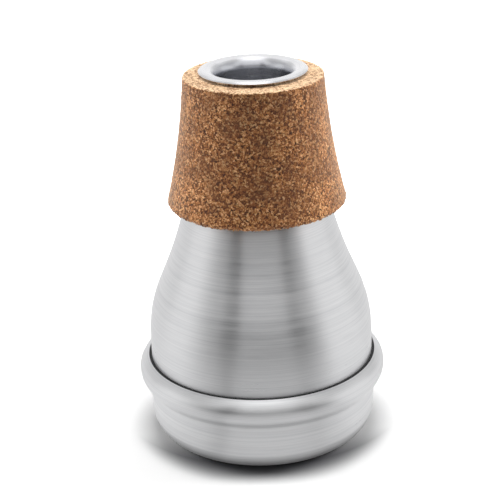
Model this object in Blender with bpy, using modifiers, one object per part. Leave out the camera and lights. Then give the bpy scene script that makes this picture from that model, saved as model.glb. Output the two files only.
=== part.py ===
"""Trumpet practice mute: spun aluminium body and base cup, cork collar and flared mouth tube.

Metres, +Z up. The origin is on the axis, at the face that the mute stands on.
Run it with: blender --background --python part.py
"""

import math

import bpy
from mathutils import Matrix, Vector

NAME = "trumpet_practice_mute"

# Overall
HEIGHT = 0.1000                 # floor to the crest of the mouth's lip
CLEARANCE = 0.0003              # left between two pieces that touch
ROUND_STEPS = 56                # facets round the large turned pieces
MOUTH_STEPS = 48                # facets round the mouth tube and the felt

# Body shell, a pear-shaped spinning
BODY_SHEET = 0.0010
BODY_RADIUS = 0.02975           # outside, where the wall is upright
SHOULDER_HEIGHT = 0.0260        # where the upright wall starts to turn in
SHOULDER_PULL = 0.0164          # how far the wall keeps on upwards there
NECK_FOOT_RADIUS = 0.0189       # outside, where the neck's cone starts under the cork
NECK_FOOT_HEIGHT = 0.0646
NECK_FOOT_SLOPE = 0.245         # radius lost for each unit of height there
NECK_PULL = 0.0231              # how long the wall keeps to that slope downwards
NECK_COLLAR_LENGTH = 0.0060     # upright collar that grips the mouth tube
PEAR_POINTS = 12

# Base cup, a spinning with a rolled bead
CUP_SHEET = 0.0009
CUP_CORNER = 0.0061             # outside radius between floor and side
CUP_TAPER = 0.0004              # the side is this much narrower at the floor's corner
CUP_STEP = 0.0007               # the side stands out this far past the body
BEAD_HEIGHT = 0.0181            # where the bead is widest
BEAD_REACH = 0.00325            # the bead stands out this far past the body
BEAD_SECTION = 0.0042           # outside radius of the roll
BEAD_FAIRING = 0.0030           # hollow radius between bead and side
SEAM_GAP = 0.00075              # from the body to the bead's edge
VENT_RADIUS = 0.0008
VENT_CIRCLE = 0.0110            # radius of the circle that the vents lie on
VENT_COUNT = 4

# Rim of the body, turned out inside the bead
RIM_DROP = 0.0004               # the rim's upper side lies this far under the bead's centre

# Gasket and felt
GASKET_SECTION = 0.00065        # radius of the cord
FELT_RADIUS = 0.0215
FELT_THICKNESS = 0.0030
FELT_EDGE = 0.0004

# Mouth tube, with its flare and rolled lip
TUBE_BORE = 0.0094
TUBE_SHEET = 0.0010
TUBE_LENGTH = 0.0420            # crest of the lip to the lower end
FLARE_RADIUS = 0.00305          # from the bore out to the crest
LIP_ROLL = 0.0020               # from the crest down to the lip's edge
LIP_ROLL_TURN = math.radians(46.0)

# Cork collar
CORK_LENGTH = 0.0337
CORK_TOP_RADIUS = 0.0179
CORK_FOOT_RADIUS = 0.0231
CORK_HOLLOW = 0.00075           # the side is this much inside the straight cone, halfway
CORK_TOP_EDGE = 0.0004
CORK_FOOT_EDGE = 0.0010
CORK_LIP_GAP = 0.0004           # under the lip's edge
CORK_POINTS = 6


# Finishes

def make_material(name, colour, roughness, metallic):
    material = bpy.data.materials.new(name)
    material.use_nodes = True
    shader = material.node_tree.nodes["Principled BSDF"]
    shader.inputs["Base Color"].default_value = (*colour, 1.0)
    shader.inputs["Roughness"].default_value = roughness
    shader.inputs["Metallic"].default_value = metallic
    material.diffuse_color = (*colour, 1.0)
    return material


# Outlines, as lists of (radius, height)

def arc(centre, radius, start, end, count):
    """Points on an arc, from one angle to another, 0 pointing outwards and a quarter turn upwards."""
    points = []
    for i in range(count + 1):
        angle = start + (end - start) * i / count
        points.append((centre[0] + radius * math.cos(angle), centre[1] + radius * math.sin(angle)))
    return points


def cubic(p0, p1, p2, p3, count):
    """Points on a cubic curve with end points p0 and p3 and handles p1 and p2."""
    points = []
    for i in range(count + 1):
        t = i / count
        weights = ((1 - t) ** 3, 3 * t * (1 - t) ** 2, 3 * t * t * (1 - t), t ** 3)
        radius = sum(w * p[0] for w, p in zip(weights, (p0, p1, p2, p3)))
        height = sum(w * p[1] for w, p in zip(weights, (p0, p1, p2, p3)))
        points.append((radius, height))
    return points


def radius_at(outline, height):
    """Radius of an outline that runs downwards, at a height."""
    for (r0, z0), (r1, z1) in zip(outline, outline[1:]):
        if z0 >= height >= z1 and z0 > z1:
            return r0 + (r1 - r0) * (z0 - height) / (z0 - z1)
    return outline[-1][0] if height < outline[-1][1] else outline[0][0]


# Places that more than one piece takes its size from

FLARE_HEIGHT = HEIGHT - FLARE_RADIUS
TUBE_OUTSIDE = TUBE_BORE + TUBE_SHEET
NECK_TOP_RADIUS = TUBE_OUTSIDE + CLEARANCE + BODY_SHEET
BEAD_CENTRE = BODY_RADIUS + BEAD_REACH - BEAD_SECTION
BEAD_INSIDE = BEAD_SECTION - CUP_SHEET
LIP_EDGE_LOW = HEIGHT - LIP_ROLL + (LIP_ROLL - TUBE_SHEET) * math.cos(LIP_ROLL_TURN)
CORK_TOP = LIP_EDGE_LOW - CORK_LIP_GAP
CORK_FOOT = CORK_TOP - CORK_LENGTH


def neck_and_wall():
    """Outside of the body from the neck's top to the foot of the upright wall."""
    collar_foot = FLARE_HEIGHT - NECK_COLLAR_LENGTH
    neck_foot = (NECK_FOOT_RADIUS, NECK_FOOT_HEIGHT)
    shoulder = (BODY_RADIUS, SHOULDER_HEIGHT)
    down = Vector((NECK_FOOT_SLOPE, -1.0)).normalized() * NECK_PULL
    pear = cubic(neck_foot, (neck_foot[0] + down.x, neck_foot[1] + down.y),
                 (shoulder[0], shoulder[1] + SHOULDER_PULL), shoulder, PEAR_POINTS)
    return [(NECK_TOP_RADIUS, FLARE_HEIGHT), (NECK_TOP_RADIUS, collar_foot)] + pear


# Building

def new_collection(name, parent):
    collection = bpy.data.collections.new(name)
    parent.children.link(collection)
    return collection


def turned(name, outline, closed, steps, material, collection):
    """A piece turned about the Z axis from an outline at +X."""
    mesh = bpy.data.meshes.new(name)
    vertices = [(radius, 0.0, height) for radius, height in outline]
    edges = [(i, i + 1) for i in range(len(vertices) - 1)]
    if closed:
        edges.append((len(vertices) - 1, 0))
    mesh.from_pydata(vertices, edges, [])
    mesh.materials.append(material)
    piece = bpy.data.objects.new(name, mesh)
    collection.objects.link(piece)
    screw = piece.modifiers.new("turn", "SCREW")
    screw.axis = "Z"
    screw.angle = math.tau
    screw.steps = steps
    screw.render_steps = steps
    screw.use_merge_vertices = True
    screw.merge_threshold = 0.000001
    screw.use_smooth_shade = True
    return piece


def sheet_wall(piece, thickness):
    """Gives a turned surface its wall, on the side away from its faces."""
    wall = piece.modifiers.new("wall", "SOLIDIFY")
    wall.thickness = thickness
    wall.offset = -1.0
    wall.use_even_offset = True
    wall.use_rim = True
    return wall


def body_shell(material, collection):
    rim_height = BEAD_HEIGHT - RIM_DROP
    under_rim = RIM_DROP + BODY_SHEET
    reach = math.sqrt((BEAD_INSIDE - CLEARANCE) ** 2 - under_rim ** 2)
    rim_radius = BEAD_CENTRE + reach
    turn = rim_radius - BODY_RADIUS
    rim = arc((rim_radius, rim_height + turn), turn, math.pi, 1.5 * math.pi, 4)
    piece = turned("body_shell", neck_and_wall() + rim, False, ROUND_STEPS, material, collection)
    sheet_wall(piece, BODY_SHEET)
    return piece


def base_cup(material, collection, cutters):
    side_top = BODY_RADIUS + CUP_STEP
    corner_side = side_top - CUP_TAPER
    edge_rise = math.acos((BODY_RADIUS + SEAM_GAP - BEAD_CENTRE) / BEAD_SECTION)
    fairing_out = side_top + BEAD_FAIRING - BEAD_CENTRE
    fairing_down = math.sqrt((BEAD_SECTION + BEAD_FAIRING) ** 2 - fairing_out ** 2)
    fairing_turn = math.atan2(fairing_down, fairing_out)
    bead = arc((BEAD_CENTRE, BEAD_HEIGHT), BEAD_SECTION, edge_rise, -fairing_turn, 10)
    fairing = arc((side_top + BEAD_FAIRING, BEAD_HEIGHT - fairing_down), BEAD_FAIRING,
                  math.pi - fairing_turn, math.pi, 3)
    corner = arc((corner_side - CUP_CORNER, CUP_CORNER), CUP_CORNER, 0.0, -0.5 * math.pi, 6)
    outline = bead + fairing[1:] + corner + [(0.0, 0.0)]
    piece = turned("base_cup", outline, False, ROUND_STEPS, material, collection)
    sheet_wall(piece, CUP_SHEET)
    for i in range(VENT_COUNT):
        angle = math.tau * (i + 0.5) / VENT_COUNT
        bpy.ops.mesh.primitive_cylinder_add(
            vertices=12, radius=VENT_RADIUS, depth=4.0 * CUP_SHEET,
            location=(VENT_CIRCLE * math.cos(angle), VENT_CIRCLE * math.sin(angle), 0.5 * CUP_SHEET))
        cutter = bpy.context.object
        cutter.name = f"vent_cutter_{i + 1}"
        cutter.hide_render = True
        cutter.display_type = "WIRE"
        for owner in list(cutter.users_collection):
            owner.objects.unlink(cutter)
        cutters.objects.link(cutter)
        cut = piece.modifiers.new(f"vent_{i + 1}", "BOOLEAN")
        cut.operation = "DIFFERENCE"
        cut.solver = "EXACT"
        cut.object = cutter
    return piece


def mouth_tube(material, collection):
    """Its seen side runs up the bore and out over the lip, and the wall lies behind it."""
    crest = TUBE_BORE + FLARE_RADIUS
    flare = arc((crest, FLARE_HEIGHT), FLARE_RADIUS, math.pi, 0.5 * math.pi, 6)
    roll = arc((crest, HEIGHT - LIP_ROLL), LIP_ROLL, 0.5 * math.pi, 0.5 * math.pi - LIP_ROLL_TURN, 3)
    outline = [(TUBE_BORE, HEIGHT - TUBE_LENGTH)] + flare + roll[1:]
    piece = turned("mouth_tube", outline, False, MOUTH_STEPS, material, collection)
    sheet_wall(piece, TUBE_SHEET)
    return piece


def cork_collar(material, collection):
    inside_wall = neck_and_wall()
    side = []
    for i in range(CORK_POINTS + 1):
        t = i / CORK_POINTS
        hollow = 4.0 * CORK_HOLLOW * t * (1.0 - t)
        side.append((CORK_TOP_RADIUS + (CORK_FOOT_RADIUS - CORK_TOP_RADIUS) * t - hollow,
                     CORK_TOP - CORK_TOP_EDGE - (CORK_LENGTH - CORK_TOP_EDGE - CORK_FOOT_EDGE) * t))
    top = (CORK_TOP_RADIUS - CORK_TOP_EDGE, CORK_TOP)
    foot = arc((CORK_FOOT_RADIUS - CORK_FOOT_EDGE, CORK_FOOT + CORK_FOOT_EDGE), CORK_FOOT_EDGE,
               0.0, -0.5 * math.pi, 3)
    bore = [(radius_at(inside_wall, CORK_FOOT) + CLEARANCE, CORK_FOOT)]
    for radius, height in reversed(inside_wall):
        if CORK_FOOT < height < CORK_TOP:
            bore.append((radius + CLEARANCE, height))
    bore.append((NECK_TOP_RADIUS + CLEARANCE, CORK_TOP))
    return turned("cork_collar", [top] + side + foot[1:] + bore, True, ROUND_STEPS, material, collection)


def seam_gasket(material, collection):
    """A soft cord that lies against the body's wall and under the bead's roll."""
    out = BODY_RADIUS + CLEARANCE + GASKET_SECTION - BEAD_CENTRE
    reach = BEAD_INSIDE - CLEARANCE - GASKET_SECTION
    up = math.sqrt(reach ** 2 - out ** 2)
    section = arc((BEAD_CENTRE + out, BEAD_HEIGHT + up), GASKET_SECTION, math.pi, -math.pi, 8)
    return turned("seam_gasket", section[:-1], True, ROUND_STEPS, material, collection)


def damper_felt(material, collection):
    low = CUP_SHEET + CLEARANCE
    high = low + FELT_THICKNESS
    outline = [(0.0, high), (FELT_RADIUS - FELT_EDGE, high), (FELT_RADIUS, high - FELT_EDGE),
               (FELT_RADIUS, low + FELT_EDGE), (FELT_RADIUS - FELT_EDGE, low), (0.0, low)]
    return turned("damper_felt", outline, False, MOUTH_STEPS, material, collection)


def main():
    for old in list(bpy.data.objects):
        bpy.data.objects.remove(old, do_unlink=True)
    parts = new_collection(NAME, bpy.context.scene.collection)
    cutters = new_collection("cutters", bpy.context.scene.collection)

    spun = make_material("spun_aluminium", (0.80, 0.80, 0.81), 0.30, 1.0)
    bright = make_material("bright_aluminium", (0.88, 0.88, 0.90), 0.18, 1.0)
    cork = make_material("cork", (0.52, 0.30, 0.16), 0.90, 0.0)
    rubber = make_material("black_rubber", (0.02, 0.02, 0.02), 0.70, 0.0)
    felt = make_material("grey_felt", (0.18, 0.18, 0.18), 1.0, 0.0)

    body_shell(spun, parts)
    base_cup(spun, parts, cutters)
    mouth_tube(bright, parts)
    cork_collar(cork, parts)
    seam_gasket(rubber, parts)
    damper_felt(felt, parts)


main()
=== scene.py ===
"""Looks of the trumpet practice mute: spun aluminium, agglomerated cork and the bright turned mouth.

Metres, +Z up. The mute stands on the floor at z = 0, with its axis on the Z axis.
"""

import math

import bpy
from mathutils import Matrix, Vector


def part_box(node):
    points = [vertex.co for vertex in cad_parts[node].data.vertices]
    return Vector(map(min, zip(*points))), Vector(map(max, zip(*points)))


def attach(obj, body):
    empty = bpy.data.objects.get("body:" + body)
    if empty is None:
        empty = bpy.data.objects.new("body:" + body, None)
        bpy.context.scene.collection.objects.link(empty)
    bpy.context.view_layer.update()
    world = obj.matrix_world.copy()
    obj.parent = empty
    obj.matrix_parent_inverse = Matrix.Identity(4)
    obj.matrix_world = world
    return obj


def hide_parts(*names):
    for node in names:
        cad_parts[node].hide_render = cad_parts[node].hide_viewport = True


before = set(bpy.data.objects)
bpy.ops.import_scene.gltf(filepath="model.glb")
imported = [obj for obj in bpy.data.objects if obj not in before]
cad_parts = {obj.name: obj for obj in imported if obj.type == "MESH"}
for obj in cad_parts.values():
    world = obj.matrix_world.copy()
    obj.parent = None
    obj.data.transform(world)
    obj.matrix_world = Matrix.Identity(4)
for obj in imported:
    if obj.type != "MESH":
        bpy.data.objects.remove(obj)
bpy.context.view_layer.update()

# The camera, as the photograph's circles give it
PHOTO_PIXELS = 500
CAMERA_ELEVATION = math.radians(22.5)
CAMERA_DISTANCE = 0.3802
CAMERA_ROLL = math.radians(-1.94)
CAMERA_FOCAL_PIXELS = 1440.0
CAMERA_TARGET = Vector((-0.00226, 0.0, 0.05035))
SENSOR_WIDTH = 36.0

# Sizes that the nodes' boxes don't give
CLEARANCE = 0.0003
BODY_SHEET = 0.0010
BODY_RADIUS = 0.02975
SHOULDER_HEIGHT = 0.0260
SHOULDER_PULL = 0.0164
NECK_FOOT_RADIUS = 0.0189
NECK_FOOT_HEIGHT = 0.0646
NECK_FOOT_SLOPE = 0.245
NECK_PULL = 0.0231
NECK_COLLAR_LENGTH = 0.0060
CUP_SHEET = 0.0009
CUP_CORNER = 0.0061
CUP_TAPER = 0.0004
CUP_STEP = 0.0007
BEAD_HEIGHT = 0.0181
BEAD_REACH = 0.00325
BEAD_SECTION = 0.0042
BEAD_FAIRING = 0.0030
SEAM_GAP = 0.00075
RIM_DROP = 0.0004
VENT_RADIUS = 0.0008
VENT_CIRCLE = 0.0110
VENT_COUNT = 4
TUBE_BORE = 0.0094
TUBE_SHEET = 0.0010
FLARE_RADIUS = 0.00305
LIP_ROLL = 0.0020
LIP_ROLL_TURN = math.radians(46.0)
CORK_TOP_RADIUS = 0.0179
CORK_HOLLOW = 0.00075
CORK_TOP_EDGE = 0.0005
CORK_FOOT_EDGE = 0.0010

# How far the cork bulges up under the mouth's lip, and where its top face goes down to its own height
CORK_UNDER_LIP = 0.0002
BULGE_END = 0.0003
FACE_START = 0.0008

# The cork's skin, its granules and the chips along its foot
CORK_SKIN = 0.0006
GRANULE_SIZE = 0.00055
GRANULE_DEPTH = 0.00022
CHIP_SIZE = 0.00080
CHIP_DEPTH = 0.00120
CHIP_REACH = 0.0016

# The lip that the gasket pushes up into the seam, a dark rim put there as the seam's painted shade, measured
# from the body's wall and the bead's mouth
SHADE_LIP_OFF_WALL = 0.00002
SHADE_LIP_ABOVE_MOUTH = 0.00004
SHADE_LIP_CROWN = (0.0002, 0.00002)
SHADE_LIP_OUTER_EDGE = (0.0005, -0.00010)
SHADE_LIP_OUTER_FOOT = (0.0004, -0.0008)

# Fineness
TURN_STEPS = 224
CORK_STEPS = 480
CORK_ROWS = 120
SAME_POINT = 0.0000005
SAME_SEAM_POINT = 0.000002
SMOOTH_ANGLE = math.radians(50.0)

# Sizes from the nodes' boxes, and what follows from them
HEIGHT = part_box("mouth_tube")[1].z
TUBE_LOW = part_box("mouth_tube")[0].z
CORK_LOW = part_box("cork_collar")[0].z
CORK_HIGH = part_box("cork_collar")[1].z
CORK_FOOT_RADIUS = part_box("cork_collar")[1].x
FLARE_HEIGHT = HEIGHT - FLARE_RADIUS
NECK_TOP_RADIUS = TUBE_BORE + TUBE_SHEET + CLEARANCE + BODY_SHEET
LIP_RADIUS = TUBE_BORE + FLARE_RADIUS + LIP_ROLL * math.sin(LIP_ROLL_TURN)
BEAD_CENTRE = BODY_RADIUS + BEAD_REACH - BEAD_SECTION
BEAD_INSIDE = BEAD_SECTION - CUP_SHEET
BEAD_EDGE_RISE = math.acos((BODY_RADIUS + SEAM_GAP - BEAD_CENTRE) / BEAD_SECTION)

# Colours, from dark to light where there are two
SATIN_TONES = ((0.60, 0.605, 0.62, 1.0), (0.87, 0.87, 0.875, 1.0))
BRIGHT_TONES = ((0.78, 0.78, 0.81, 1.0), (0.95, 0.95, 0.96, 1.0))
# Painted shade inside the mouth's bore
BORE_PAINTED_SHADE = (0.62, 0.63, 0.67, 1.0)
CORK_STOPS = ((0.00, (0.012, 0.005, 0.003, 1.0)), (0.27, (0.095, 0.029, 0.008, 1.0)),
              (0.46, (0.280, 0.094, 0.024, 1.0)), (0.66, (0.520, 0.215, 0.068, 1.0)),
              (0.95, (0.860, 0.520, 0.240, 1.0)))
CORK_BINDER = (0.150, 0.055, 0.020, 1.0)
CORK_PORE = (0.030, 0.012, 0.006, 1.0)
# Paler cork colours for the top face, as painted light
CORK_PAINTED_TOP_TONES = ((0.20, 0.075, 0.022, 1.0), (0.80, 0.56, 0.34, 1.0))
CORK_SHEEN = (1.0, 0.86, 0.70, 1.0)
RUBBER_TONES = ((0.006, 0.006, 0.007, 1.0), (0.016, 0.016, 0.017, 1.0))
FELT_TONES = ((0.05, 0.05, 0.052, 1.0), (0.20, 0.20, 0.205, 1.0))
# The painted contact shadow, then the floor
PAINTED_SHADOW_AND_FLOOR_TONES = ((0.16, 0.16, 0.17, 1.0), (0.74, 0.74, 0.74, 1.0))
BLACK = (0.0, 0.0, 0.0, 1.0)
WHITE = (1.0, 1.0, 1.0, 1.0)

# The studio: sizes in metres, lamp powers in watts
SOFT_LEVEL = 0.08
FLOOR_SIZE = 6.0
FLOOR_DROP = 0.00002
TENT_RADIUS = 0.9
TENT_HEIGHT = 1.6
TENT_MIDDLE = 0.79
TABLE_HEIGHT = 0.0003
ROUND_SIDES = 96
LAMP_AIM = Vector((0.0, 0.0, 0.05))
LAMPS = (("left_soft_box", (-0.70, 0.20, 0.32), 0.40, 5.2),
         ("right_soft_box", (0.70, 0.18, 0.32), 0.40, 6.6),
         ("top_soft_box", (0.0, 0.04, 0.9), 0.45, 8.4))


# Shader maths, written as expressions

class Value:
    """A shader socket that adds Math nodes when it is used in an expression."""

    def __init__(self, tree, socket):
        self.tree = tree
        self.socket = socket

    def _math(self, operation, *inputs):
        node = self.tree.nodes.new("ShaderNodeMath")
        node.operation = operation
        for slot, item in enumerate(inputs):
            if isinstance(item, Value):
                self.tree.links.new(item.socket, node.inputs[slot])
            else:
                node.inputs[slot].default_value = item
        return Value(self.tree, node.outputs[0])

    def __add__(self, other):
        return self._math("ADD", self, other)

    def __radd__(self, other):
        return self._math("ADD", other, self)

    def __sub__(self, other):
        return self._math("SUBTRACT", self, other)

    def __rsub__(self, other):
        return self._math("SUBTRACT", other, self)

    def __mul__(self, other):
        return self._math("MULTIPLY", self, other)

    def __rmul__(self, other):
        return self._math("MULTIPLY", other, self)

    def call(self, operation, *others):
        """Any other Math node, with this value as its first input."""
        return self._math(operation, self, *others)

    def ramp(self, low, high, start=0.0, end=1.0):
        """Smooth step: start below low, end above high."""
        step = Nodes(self.tree).node("ShaderNodeMapRange", {"interpolation_type": "SMOOTHSTEP"}, Value=self,
                                     From_Min=low, From_Max=high, To_Min=start, To_Max=end)
        return Value(self.tree, step.outputs["Result"])


class Nodes:
    """A node tree with one way to add any node but a Math node."""

    def __init__(self, tree):
        self.tree = tree

    def node(self, kind, settings=None, **sockets):
        """Adds a node: first its settings, a ramp's stops among them, then its sockets."""
        made = self.tree.nodes.new(kind)
        for key, value in (settings or {}).items():
            if key == "stops":
                self.set_stops(made.color_ramp, value)
            else:
                setattr(made, key, value)
        for key, value in sockets.items():
            self.feed(made, key.replace("_", " "), value)
        return made

    def set_stops(self, band, stops):
        """Gives a ramp its colours; the two stops that it starts with become the first and the last."""
        for element, (position, colour) in zip(list(band.elements), (stops[0], stops[-1])):
            element.position = position
            element.color = colour
        for position, colour in stops[1:-1]:
            band.elements.new(position).color = colour

    def feed(self, node, socket, value):
        """Links a value or a socket to a node's input, or sets the number or colour there."""
        target = node.inputs[socket]
        if isinstance(value, Value):
            self.tree.links.new(value.socket, target)
        elif isinstance(value, bpy.types.NodeSocket):
            self.tree.links.new(value, target)
        else:
            target.default_value = value

    def value(self, socket):
        return Value(self.tree, socket)


class Finish(Nodes):
    """A material for one of the mute's finishes or for the surroundings."""

    def __init__(self, name):
        self.material = bpy.data.materials.new(name)
        self.material.use_nodes = True
        super().__init__(self.material.node_tree)
        self.shader = self.tree.nodes["Principled BSDF"]

    def place(self):
        """X, Y and Z of the point on the piece, in metres."""
        coords = self.node("ShaderNodeTexCoord")
        split = self.node("ShaderNodeSeparateXYZ", None, Vector=coords.outputs["Object"])
        return [self.value(split.outputs[axis]) for axis in ("X", "Y", "Z")]

    def noise(self, vector, scale, detail=2.0, roughness=0.5):
        made = self.node("ShaderNodeTexNoise", None, Vector=vector, Scale=scale, Detail=detail,
                         Roughness=roughness)
        return self.value(made.outputs["Fac"])

    def vector(self, x, y, z):
        made = self.node("ShaderNodeCombineXYZ", None, X=x, Y=y, Z=z)
        return made.outputs["Vector"]

    def blend(self, factor, first, second):
        """Colour that goes from first to second."""
        made = self.node("ShaderNodeMix", {"data_type": "RGBA"})
        self.feed(made, 0, factor)
        self.feed(made, 6, first)
        self.feed(made, 7, second)
        return made.outputs[2]

    def bump(self, height, distance):
        made = self.node("ShaderNodeBump", None, Strength=1.0, Distance=distance, Height=height)
        self.feed(self.shader, "Normal", made.outputs["Normal"])

    def constants(self, **sockets):
        for key, value in sockets.items():
            self.shader.inputs[key.replace("_", " ")].default_value = value


# Finishes

def spun_metal(name, tones, roughness, line_depth, painted_shade_within=None):
    """Aluminium with the fine lines that the spinning tool leaves round the axis.

    tones are its dark and light colour; within the given radius its colour is painted darker, as painted
    shade down the bore.
    """
    finish = Finish(name)
    x, y, z = finish.place()
    radius = (x * x + y * y).call("SQRT")
    drift = finish.noise(finish.vector(x, y, z), 60.0, 1.0)
    rings = finish.vector(radius + drift * 0.00008, z + drift * 0.00008, drift * 0.00035)
    coarse = finish.noise(rings, 900.0, 3.0, 0.6)
    fine = finish.noise(rings, 3800.0, 2.0, 0.6)
    smear = finish.noise(finish.vector(x, y, z * 6.0), 90.0, 3.0, 0.6)
    tone = (coarse - 0.5) * 0.75 + (fine - 0.5) * 0.9 + (smear - 0.5) * 0.45 + 0.5
    shade = finish.blend(tone.call("MAXIMUM", 0.0).call("MINIMUM", 1.0), *tones)
    # Painted shade: the colour darkens down inside the bore.
    if painted_shade_within:
        shade = finish.blend(radius.ramp(0.84 * painted_shade_within, painted_shade_within), BORE_PAINTED_SHADE, shade)
    finish.feed(finish.shader, "Base Color", shade)
    finish.feed(finish.shader, "Roughness", (coarse - 0.5) * 0.16 + (smear - 0.5) * 0.10 + roughness)
    finish.constants(Metallic=1.0, Anisotropic=0.88, Anisotropic_Rotation=0.25)
    finish.bump(coarse * 0.5 + fine * 0.5, line_depth)
    return finish.material


def agglomerated_cork():
    """Pressed cork granules in binder, sanded; its flat top is painted paler, as painted light from above."""
    finish = Finish("cork")
    x, y, z = finish.place()
    place = finish.vector(x, y, z)
    warp = finish.node("ShaderNodeTexNoise", None, Vector=place, Scale=700.0, Detail=2.0)
    shift = finish.node("ShaderNodeVectorMath", {"operation": "SCALE"})
    finish.feed(shift, 0, warp.outputs["Color"])
    finish.feed(shift, "Scale", 0.0009)
    moved = finish.node("ShaderNodeVectorMath", {"operation": "ADD"})
    finish.feed(moved, 0, place)
    finish.feed(moved, 1, shift.outputs["Vector"])
    granule = finish.node("ShaderNodeTexVoronoi", None, Vector=moved.outputs["Vector"], Scale=2050.0)
    chip = finish.node("ShaderNodeTexVoronoi", None, Vector=moved.outputs["Vector"], Scale=4800.0)
    pick = finish.node("ShaderNodeSeparateColor", None, Color=granule.outputs["Color"])
    pick_chip = finish.node("ShaderNodeSeparateColor", None, Color=chip.outputs["Color"])
    tone = finish.value(pick.outputs[0]) * 0.62 + finish.value(pick_chip.outputs[1]) * 0.38
    grains = finish.node("ShaderNodeValToRGB", {"stops": CORK_STOPS}, Fac=tone).outputs["Color"]
    patches = finish.noise(place, 160.0, 2.0)
    bound = finish.blend(patches.ramp(0.40, 0.66), grains, CORK_BINDER)
    cavity = finish.value(granule.outputs["Distance"])
    pores = finish.noise(place, 2600.0, 2.0).ramp(0.30, 0.40)
    gap = cavity.ramp(0.62, 0.85, 1.0, 0.45) * (pores * 0.45 + 0.55)
    shade = finish.blend(gap, CORK_PORE, finish.blend(0.50, grains, bound))
    # Painted light: the cork's colour turns paler where its face looks up, as on the lit top.
    surface = finish.node("ShaderNodeNewGeometry")
    facing = finish.node("ShaderNodeSeparateXYZ", None, Vector=surface.outputs["Normal"])
    painted_top_light = finish.value(facing.outputs["Z"]).ramp(0.45, 0.85)
    painted_pale_top = finish.blend(tone.ramp(0.18, 0.72) * gap, *CORK_PAINTED_TOP_TONES)
    finish.feed(finish.shader, "Base Color", finish.blend(painted_top_light, shade, painted_pale_top))
    finish.feed(finish.shader, "Roughness", 0.94 - tone * 0.12)
    finish.constants(Metallic=0.0, Specular_IOR_Level=0.40, Sheen_Weight=0.45, Sheen_Roughness=0.45,
                     Sheen_Tint=CORK_SHEEN)
    finish.bump((1.0 - cavity) * 0.6 + finish.noise(place, 2200.0, 3.0) * 0.6, 0.00016)
    return finish.material


def black_rubber():
    """The gasket's dull rubber."""
    finish = Finish("black_rubber")
    x, y, z = finish.place()
    grain = finish.noise(finish.vector(x, y, z), 1500.0, 2.0)
    finish.feed(finish.shader, "Base Color", finish.blend(grain, *RUBBER_TONES))
    finish.feed(finish.shader, "Roughness", grain * 0.2 + 0.6)
    return finish.material


def grey_felt():
    """The damper's pressed felt."""
    finish = Finish("grey_felt")
    x, y, z = finish.place()
    place = finish.vector(x, y, z)
    fibre = finish.noise(place, 2400.0, 4.0, 0.7)
    clump = finish.noise(place, 320.0, 2.0)
    finish.feed(finish.shader, "Base Color", finish.blend(fibre * 0.6 + clump * 0.4, *FELT_TONES))
    finish.feed(finish.shader, "Roughness", fibre * 0.1 + 0.88)
    finish.bump(fibre, 0.0003)
    return finish.material


# Outlines, as lists of (radius, height)

def arc(centre, radius, start, end, count):
    points = []
    for i in range(count + 1):
        angle = start + (end - start) * i / count
        points.append((centre[0] + radius * math.cos(angle), centre[1] + radius * math.sin(angle)))
    return points


def cubic(p0, p1, p2, p3, count):
    points = []
    for i in range(count + 1):
        t = i / count
        weights = ((1 - t) ** 3, 3 * t * (1 - t) ** 2, 3 * t * t * (1 - t), t ** 3)
        points.append(tuple(sum(w * p[axis] for w, p in zip(weights, (p0, p1, p2, p3))) for axis in (0, 1)))
    return points


def line(start, end, count):
    return [(start[0] + (end[0] - start[0]) * i / count, start[1] + (end[1] - start[1]) * i / count)
            for i in range(count + 1)]


def radius_at(outline, height):
    """Radius of an outline that runs downwards, at a height."""
    for (r0, z0), (r1, z1) in zip(outline, outline[1:]):
        if z0 >= height >= z1 and z0 > z1:
            return r0 + (r1 - r0) * (z0 - height) / (z0 - z1)
    return outline[-1][0] if height < outline[-1][1] else outline[0][0]


def neck_and_wall():
    """Outside of the body from the neck's top to the foot of the upright wall."""
    collar_foot = FLARE_HEIGHT - NECK_COLLAR_LENGTH
    shoulder = (BODY_RADIUS, SHOULDER_HEIGHT)
    down = Vector((NECK_FOOT_SLOPE, -1.0)).normalized() * NECK_PULL
    pear = cubic((NECK_FOOT_RADIUS, NECK_FOOT_HEIGHT), (NECK_FOOT_RADIUS + down.x, NECK_FOOT_HEIGHT + down.y),
                 (BODY_RADIUS, SHOULDER_HEIGHT + SHOULDER_PULL), shoulder, 60)
    return [(NECK_TOP_RADIUS, FLARE_HEIGHT), (NECK_TOP_RADIUS, collar_foot)] + pear


# Modelling

def clear_selection():
    """Deselects everything, so that an operator acts on the new primitive alone."""
    if bpy.context.object and bpy.context.object.mode != "OBJECT":
        bpy.ops.object.mode_set(mode="OBJECT")
    bpy.ops.object.select_all(action="DESELECT")


def turned(name, outline, steps, closed=False):
    """A piece turned about the Z axis: one point is drawn out along the outline, then spun."""
    if closed:
        outline = outline + outline[:1]
    clear_selection()
    bpy.ops.mesh.primitive_plane_add(size=0.001, location=(0.0, 0.0, 0.0))
    piece = bpy.context.object
    piece.name = name
    bpy.ops.object.mode_set(mode="EDIT")
    bpy.ops.mesh.select_all(action="SELECT")
    bpy.ops.mesh.merge(type="CENTER")
    bpy.ops.transform.translate(value=(outline[0][0], 0.0, outline[0][1]))
    for (r0, z0), (r1, z1) in zip(outline, outline[1:]):
        bpy.ops.mesh.extrude_region_move(TRANSFORM_OT_translate={"value": (r1 - r0, 0.0, z1 - z0)})
    bpy.ops.mesh.select_all(action="SELECT")
    bpy.ops.mesh.remove_doubles(threshold=SAME_POINT)
    bpy.ops.mesh.select_all(action="SELECT")
    bpy.ops.mesh.spin(steps=steps, angle=math.tau, center=(0.0, 0.0, 0.0), axis=(0.0, 0.0, 1.0))
    bpy.ops.mesh.select_all(action="SELECT")
    bpy.ops.mesh.remove_doubles(threshold=SAME_SEAM_POINT)
    bpy.ops.mesh.select_all(action="SELECT")
    bpy.ops.mesh.normals_make_consistent(inside=False)
    bpy.ops.object.mode_set(mode="OBJECT")
    bpy.ops.object.transform_apply(location=True, rotation=True, scale=True)
    bpy.ops.object.shade_smooth_by_angle(angle=SMOOTH_ANGLE)
    return piece


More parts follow.
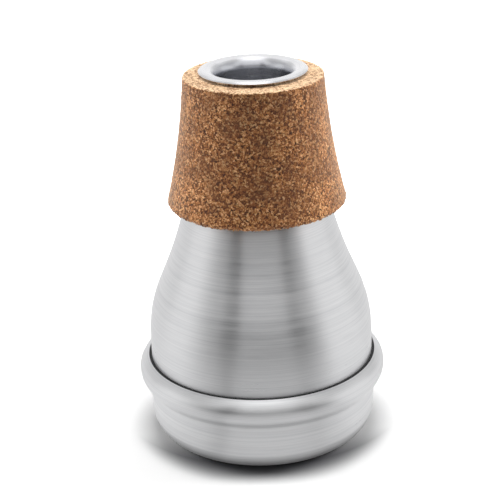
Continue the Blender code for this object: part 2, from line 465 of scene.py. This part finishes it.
def give_wall(piece, thickness, outward):
    """Thickens an open turned sheet; outward is 1 where the seen side faces away from the axis."""
    wall = piece.modifiers.new("wall", "SOLIDIFY")
    wall.thickness = thickness
    wall.offset = -outward
    wall.use_even_offset = True
    wall.use_rim = True
    bpy.context.view_layer.objects.active = piece
    bpy.ops.object.modifier_apply(modifier=wall.name)
    bpy.ops.object.shade_smooth_by_angle(angle=SMOOTH_ANGLE)


def wear(piece, material, node):
    """Gives a finished piece its material and the place of the CAD node that it replaces."""
    piece.data.materials.clear()
    piece.data.materials.append(material)
    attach(piece, "root")
    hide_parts(node)


def mean_normal_side(piece):
    """1 where the faces of a turned sheet mostly look away from the axis, otherwise -1."""
    total = 0.0
    for face in piece.data.polygons:
        out = Vector((face.center.x, face.center.y, 0.0))
        if out.length > 0.0:
            total += face.normal.dot(out.normalized()) * face.area
    return 1.0 if total > 0.0 else -1.0


def spun_body(material):
    """The pear-shaped shell, from its neck to the rim that is turned out inside the bead."""
    rim_height = BEAD_HEIGHT - RIM_DROP
    reach = math.sqrt((BEAD_INSIDE - CLEARANCE) ** 2 - (RIM_DROP + BODY_SHEET) ** 2)
    rim_radius = BEAD_CENTRE + reach
    turn = rim_radius - BODY_RADIUS
    rim = arc((rim_radius, rim_height + turn), turn, math.pi, 1.5 * math.pi, 10)
    outline = neck_and_wall()
    wall = line(outline[-1], rim[0], 6)
    piece = turned("spun_body", outline + wall[1:] + rim[1:], TURN_STEPS)
    give_wall(piece, BODY_SHEET, mean_normal_side(piece))
    wear(piece, material, "body_shell")


def drill_vents(piece):
    """Cuts the ring of small holes through the cup's floor."""
    for i in range(VENT_COUNT):
        angle = math.tau * (i + 0.5) / VENT_COUNT
        clear_selection()
        bpy.ops.mesh.primitive_cylinder_add(
            vertices=32, radius=VENT_RADIUS, depth=4.0 * CUP_SHEET,
            location=(VENT_CIRCLE * math.cos(angle), VENT_CIRCLE * math.sin(angle), 0.5 * CUP_SHEET))
        drill = bpy.context.object
        cut = piece.modifiers.new("vent", "BOOLEAN")
        cut.object = drill
        cut.operation = "DIFFERENCE"
        cut.solver = "EXACT"
        bpy.context.view_layer.objects.active = piece
        bpy.ops.object.modifier_apply(modifier=cut.name)
        bpy.data.objects.remove(drill)


def spun_cup(material):
    """The cup, from the edge of its rolled bead down to the middle of its floor."""
    side_top = BODY_RADIUS + CUP_STEP
    corner_side = side_top - CUP_TAPER
    fairing_out = side_top + BEAD_FAIRING - BEAD_CENTRE
    fairing_down = math.sqrt((BEAD_SECTION + BEAD_FAIRING) ** 2 - fairing_out ** 2)
    fairing_turn = math.atan2(fairing_down, fairing_out)
    bead = arc((BEAD_CENTRE, BEAD_HEIGHT), BEAD_SECTION, BEAD_EDGE_RISE, -fairing_turn, 36)
    fairing = arc((side_top + BEAD_FAIRING, BEAD_HEIGHT - fairing_down), BEAD_FAIRING,
                  math.pi - fairing_turn, math.pi, 10)
    corner = arc((corner_side - CUP_CORNER, CUP_CORNER), CUP_CORNER, 0.0, -0.5 * math.pi, 20)
    side = line(fairing[-1], corner[0], 8)
    floor = line(corner[-1], (0.0, 0.0), 10)
    outline = bead + fairing[1:] + side[1:] + corner[1:] + floor[1:]
    piece = turned("spun_cup", outline, TURN_STEPS)
    give_wall(piece, CUP_SHEET, mean_normal_side(piece))
    drill_vents(piece)
    wear(piece, material, "base_cup")


def turned_mouth(material):
    """The tube with its flared mouth and the lip that rolls over the cork."""
    crest = TUBE_BORE + FLARE_RADIUS
    bore = line((TUBE_BORE, TUBE_LOW), (TUBE_BORE, FLARE_HEIGHT), 10)
    flare = arc((crest, FLARE_HEIGHT), FLARE_RADIUS, math.pi, 0.5 * math.pi, 20)
    roll = arc((crest, HEIGHT - LIP_ROLL), LIP_ROLL, 0.5 * math.pi, 0.5 * math.pi - LIP_ROLL_TURN, 10)
    piece = turned("turned_mouth", bore + flare[1:] + roll[1:], TURN_STEPS)
    give_wall(piece, TUBE_SHEET, -mean_normal_side(piece))
    wear(piece, material, "mouth_tube")


def squeezed_gasket(material):
    """The ring under the bead, with the lip that it pushes up into the seam as a dark line of painted shade.
    """
    low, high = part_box("seam_gasket")
    section = 0.5 * (high.z - low.z)
    centre = (high.x - section, low.z + section)
    mouth = BEAD_HEIGHT + BEAD_SECTION * math.sin(BEAD_EDGE_RISE)
    wall = BODY_RADIUS + SHADE_LIP_OFF_WALL
    ring = arc(centre, section, 0.4 * math.pi, -math.pi, 20)
    # Painted shade: the dark lip shows as the seam's shadow line.
    lip = [(wall, centre[1] + section), (wall, mouth + SHADE_LIP_ABOVE_MOUTH)]
    for out, rise in (SHADE_LIP_CROWN, SHADE_LIP_OUTER_EDGE, SHADE_LIP_OUTER_FOOT):
        lip.append((wall + out, mouth + rise))
    piece = turned("squeezed_gasket", ring + lip, TURN_STEPS, closed=True)
    wear(piece, material, "seam_gasket")


def roughen(piece, name, kind, grain, depth, group):
    """Pushes a piece's skin in and out by a grain of a given size, where a vertex group lets it."""
    pattern = bpy.data.textures.new(name, kind)
    pattern.noise_scale = grain
    grains = piece.modifiers.new(name, "DISPLACE")
    grains.texture = pattern
    grains.texture_coords = "LOCAL"
    grains.direction = "NORMAL"
    grains.mid_level = 0.5
    grains.strength = depth
    grains.vertex_group = group
    bpy.context.view_layer.objects.active = piece
    bpy.ops.object.modifier_apply(modifier=grains.name)


def cork_side():
    """The cork's tapered side, from its top edge down to its foot, a little hollow between them."""
    drop = CORK_HIGH - CORK_LOW - CORK_TOP_EDGE - CORK_FOOT_EDGE
    side = []
    for i in range(CORK_ROWS + 1):
        t = i / CORK_ROWS
        hollow = 4.0 * CORK_HOLLOW * t * (1.0 - t)
        radius = CORK_TOP_RADIUS + (CORK_FOOT_RADIUS - CORK_TOP_RADIUS) * t - hollow
        side.append((radius, CORK_HIGH - CORK_TOP_EDGE - drop * t))
    return side


def cork_outline(inside_wall):
    """The cork's whole section: top face, side, foot, underside and the bore that follows the body."""
    under_lip = CORK_HIGH + CORK_UNDER_LIP
    face = line((NECK_TOP_RADIUS + CLEARANCE, under_lip), (LIP_RADIUS - BULGE_END, under_lip), 6)
    face += line((LIP_RADIUS + FACE_START, CORK_HIGH), (CORK_TOP_RADIUS - CORK_TOP_EDGE, CORK_HIGH), 10)
    top_edge = arc((CORK_TOP_RADIUS - CORK_TOP_EDGE, CORK_HIGH - CORK_TOP_EDGE), CORK_TOP_EDGE,
                   0.5 * math.pi, 0.0, 3)
    foot = arc((CORK_FOOT_RADIUS - CORK_FOOT_EDGE, CORK_LOW + CORK_FOOT_EDGE), CORK_FOOT_EDGE,
               0.0, -0.5 * math.pi, 7)
    foot_inside = (radius_at(inside_wall, CORK_LOW) + CLEARANCE, CORK_LOW)
    under = line(foot[-1], foot_inside, 6)
    bore = []
    for radius, height in reversed(inside_wall):
        if CORK_LOW + CLEARANCE < height < CORK_HIGH:
            bore.append((radius + CLEARANCE, height))
    return face + top_edge[1:] + cork_side()[1:] + foot[1:] + under[1:] + bore


def pressed_cork(material):
    """The cork collar, with granules standing out of its skin and chips along its foot."""
    inside_wall = neck_and_wall()
    piece = turned("pressed_cork", cork_outline(inside_wall), CORK_STEPS, closed=True)
    skin = piece.vertex_groups.new(name="skin")
    foot_edge = piece.vertex_groups.new(name="foot_edge")
    for vertex in piece.data.vertices:
        radius = math.hypot(vertex.co.x, vertex.co.y)
        if radius > radius_at(inside_wall, vertex.co.z) + CLEARANCE + CORK_SKIN:
            skin.add([vertex.index], 1.0, "REPLACE")
            to_foot = 1.0 - (vertex.co.z - CORK_LOW) / CHIP_REACH
            if to_foot > 0.0:
                foot_edge.add([vertex.index], to_foot, "REPLACE")
    roughen(piece, "granules", "VORONOI", GRANULE_SIZE, GRANULE_DEPTH, "skin")
    roughen(piece, "chips", "CLOUDS", CHIP_SIZE, CHIP_DEPTH, "foot_edge")
    wear(piece, material, "cork_collar")


# Surroundings

def set_camera():
    """The photograph's camera: in front of the mute, looking down on it, and rolled a little."""
    forward = Vector((0.0, math.cos(CAMERA_ELEVATION), -math.sin(CAMERA_ELEVATION)))
    level_right = Vector((1.0, 0.0, 0.0))
    level_up = level_right.cross(forward)
    right = level_right * math.cos(CAMERA_ROLL) + level_up * math.sin(CAMERA_ROLL)
    up = level_up * math.cos(CAMERA_ROLL) - level_right * math.sin(CAMERA_ROLL)
    data = bpy.data.cameras.new("camera")
    data.sensor_width = SENSOR_WIDTH
    data.lens = CAMERA_FOCAL_PIXELS / PHOTO_PIXELS * SENSOR_WIDTH
    data.clip_start = 0.01
    camera = bpy.data.objects.new("camera", data)
    bpy.context.scene.collection.objects.link(camera)
    turn = Matrix((right, up, -forward)).transposed().to_4x4()
    camera.matrix_world = Matrix.Translation(CAMERA_TARGET - forward * CAMERA_DISTANCE) @ turn
    bpy.context.scene.camera = camera


def set_world():
    """White where it is seen, directly or in metal, and a plain soft level elsewhere."""
    world = bpy.data.worlds.new("studio")
    bpy.context.scene.world = world
    world.use_nodes = True
    nodes = Nodes(world.node_tree)
    background = world.node_tree.nodes["Background"]
    path = nodes.node("ShaderNodeLightPath")
    camera = nodes.value(path.outputs["Is Camera Ray"])
    glossy = nodes.value(path.outputs["Is Glossy Ray"])
    through = nodes.value(path.outputs["Is Transmission Ray"])
    seen = camera.call("MAXIMUM", glossy).call("MAXIMUM", through)
    nodes.feed(background, "Color", WHITE)
    nodes.feed(background, "Strength", seen * (1.0 - SOFT_LEVEL) + SOFT_LEVEL)


def set_floor():
    """A white floor that keeps its shadow near the mute and is plain white farther off.

    Its colour is painted darker close around the foot and in front of it: a painted contact shadow.
    """
    clear_selection()
    bpy.ops.mesh.primitive_plane_add(size=FLOOR_SIZE, location=(0.0, 0.0, -FLOOR_DROP))
    floor = bpy.context.object
    floor.name = "floor"
    bpy.ops.object.transform_apply(location=True, rotation=True, scale=True)
    finish = Finish("floor")
    x, y, z = finish.place()
    radius = (x * x + y * y).call("SQRT")
    path = finish.node("ShaderNodeLightPath")
    camera = finish.value(path.outputs["Is Camera Ray"])
    finish.constants(Roughness=1.0, Specular_IOR_Level=0.0, Emission_Strength=1.0)
    # Painted contact shadow: the floor's colour darkens close around the foot and in front of it.
    clear_of_painted_shadow = radius.ramp(0.027, 0.036).call("MAXIMUM", y.ramp(-0.024, -0.006))
    finish.feed(finish.shader, "Base Color", finish.blend(clear_of_painted_shadow, *PAINTED_SHADOW_AND_FLOOR_TONES))
    finish.feed(finish.shader, "Emission Color", camera * radius.ramp(0.050, 0.17) * 0.75)
    floor.data.materials.append(finish.material)


def area_lamp(name, place, side, power):
    """A square soft box, aimed at the middle of the mute, that the metal doesn't mirror."""
    data = bpy.data.lights.new(name, "AREA")
    data.shape = "SQUARE"
    data.size = side
    data.energy = power
    lamp = bpy.data.objects.new(name, data)
    bpy.context.scene.collection.objects.link(lamp)
    lamp.location = place
    lamp.rotation_euler = (LAMP_AIM - Vector(place)).to_track_quat("-Z", "Y").to_euler()
    lamp.visible_glossy = False


def tent_panels(x, y, front_level, gap_level, back_level, side_level):
    """How much darker than white the tent is, by the turn in degrees from the camera's side."""
    turn = x.call("ARCTAN2", y * -1.0) * (180.0 / math.pi)

    def panel(left, right, soft_left, soft_right):
        """1 between two turns, with a soft edge at each, and 0 elsewhere."""
        rise = turn.ramp(left - soft_left, left + soft_left)
        fall = turn.ramp(right - soft_right, right + soft_right, 1.0, 0.0)
        return rise * fall

    front = panel(-62.0, 60.0, 22.0, 14.0) * front_level
    left_gap = panel(-38.0, -25.0, 8.0, 5.0) * gap_level
    right_gap = panel(30.0, 44.0, 6.0, 5.0) * gap_level * 0.45
    backs = (panel(-155.0, -108.0, 14.0, 10.0) + panel(112.0, 155.0, 10.0, 14.0)) * back_level
    sides = (panel(-125.0, -62.0, 12.0, 12.0) + panel(66.0, 125.0, 12.0, 12.0)) * side_level
    return front + left_gap + right_gap + backs + sides


def only_in_metal(piece, material):
    """Lets reflections alone see a piece of the surroundings."""
    piece.data.materials.append(material)
    piece.visible_camera = False
    piece.visible_diffuse = False
    piece.visible_shadow = False
    piece.visible_transmission = False


def glowing(finish, tone):
    """A black surface that glows with a tone."""
    finish.constants(Base_Color=BLACK, Roughness=1.0, Specular_IOR_Level=0.0, Emission_Strength=1.0)
    finish.feed(finish.shader, "Emission Color", tone)
    return finish.material


def set_tent():
    """The light tent that the metal mirrors: white, with a greyer front, narrow gaps, darker corners and an
    overhead patch that glows as a painted highlight.
    """
    clear_selection()
    bpy.ops.mesh.primitive_cylinder_add(vertices=ROUND_SIDES, radius=TENT_RADIUS, depth=TENT_HEIGHT,
                                        location=(0.0, 0.0, TENT_MIDDLE))
    tent = bpy.context.object
    tent.name = "light_tent"
    bpy.ops.object.transform_apply(location=True, rotation=True, scale=True)
    finish = Finish("light_tent")
    x, y, z = finish.place()
    radius = (x * x + y * y).call("SQRT")
    front_level = z.ramp(0.34, 0.62, 0.73, 0.0)
    gap_level = z.ramp(0.70, 1.15, 0.46, 0.0)
    # Painted highlight: a patch overhead glows brighter than white, seen only in the metal, in place of the
    # top soft box.
    overhead_painted_highlight = z.ramp(1.50, 1.58) * radius.ramp(0.30, 0.70, 1.0, 0.0) * 0.75
    back_level = z.ramp(0.0, 0.30, 0.08, 0.30) * z.ramp(0.60, 0.95, 1.0, 0.0)
    side_level = z.ramp(0.45, 0.80) * 0.40
    panels = tent_panels(x, y, front_level, gap_level, back_level, side_level)
    tone = (0.97 - panels).call("MAXIMUM", 0.06) + overhead_painted_highlight
    only_in_metal(tent, glowing(finish, tone))

    clear_selection()
    bpy.ops.mesh.primitive_circle_add(vertices=ROUND_SIDES, radius=TENT_RADIUS, fill_type="NGON",
                                      location=(0.0, 0.0, TABLE_HEIGHT))
    table = bpy.context.object
    table.name = "table_in_reflections"
    bpy.ops.object.transform_apply(location=True, rotation=True, scale=True)
    finish = Finish("table_in_reflections")
    x, y, z = finish.place()
    radius = (x * x + y * y).call("SQRT")
    # Painted shadow: the table that only the metal mirrors glows darker close around the foot.
    painted_shadow = radius.ramp(0.026, 0.037, 0.05, 1.0)
    far_front = radius.ramp(0.050, 0.14, 0.18, 0.56)
    tone = (0.93 - tent_panels(x, y, far_front, 0.12, 0.06, 0.0)) * painted_shadow
    only_in_metal(table, glowing(finish, tone))


def main():
    satin = spun_metal("spun_aluminium", SATIN_TONES, 0.32, 0.000012)
    bright = spun_metal("bright_aluminium", BRIGHT_TONES, 0.24, 0.000005, painted_shade_within=TUBE_BORE + 0.0018)
    cork = agglomerated_cork()
    rubber = black_rubber()
    felt = grey_felt()

    spun_body(satin)
    spun_cup(satin)
    turned_mouth(bright)
    pressed_cork(cork)
    squeezed_gasket(rubber)
    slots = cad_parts["damper_felt"].data.materials
    slots.clear()
    slots.append(felt)

    set_camera()
    set_world()
    set_floor()
    set_tent()
    for name, place, side, power in LAMPS:
        area_lamp(name, place, side, power)


main()
bpy.context.scene.view_settings.view_transform = "Standard"
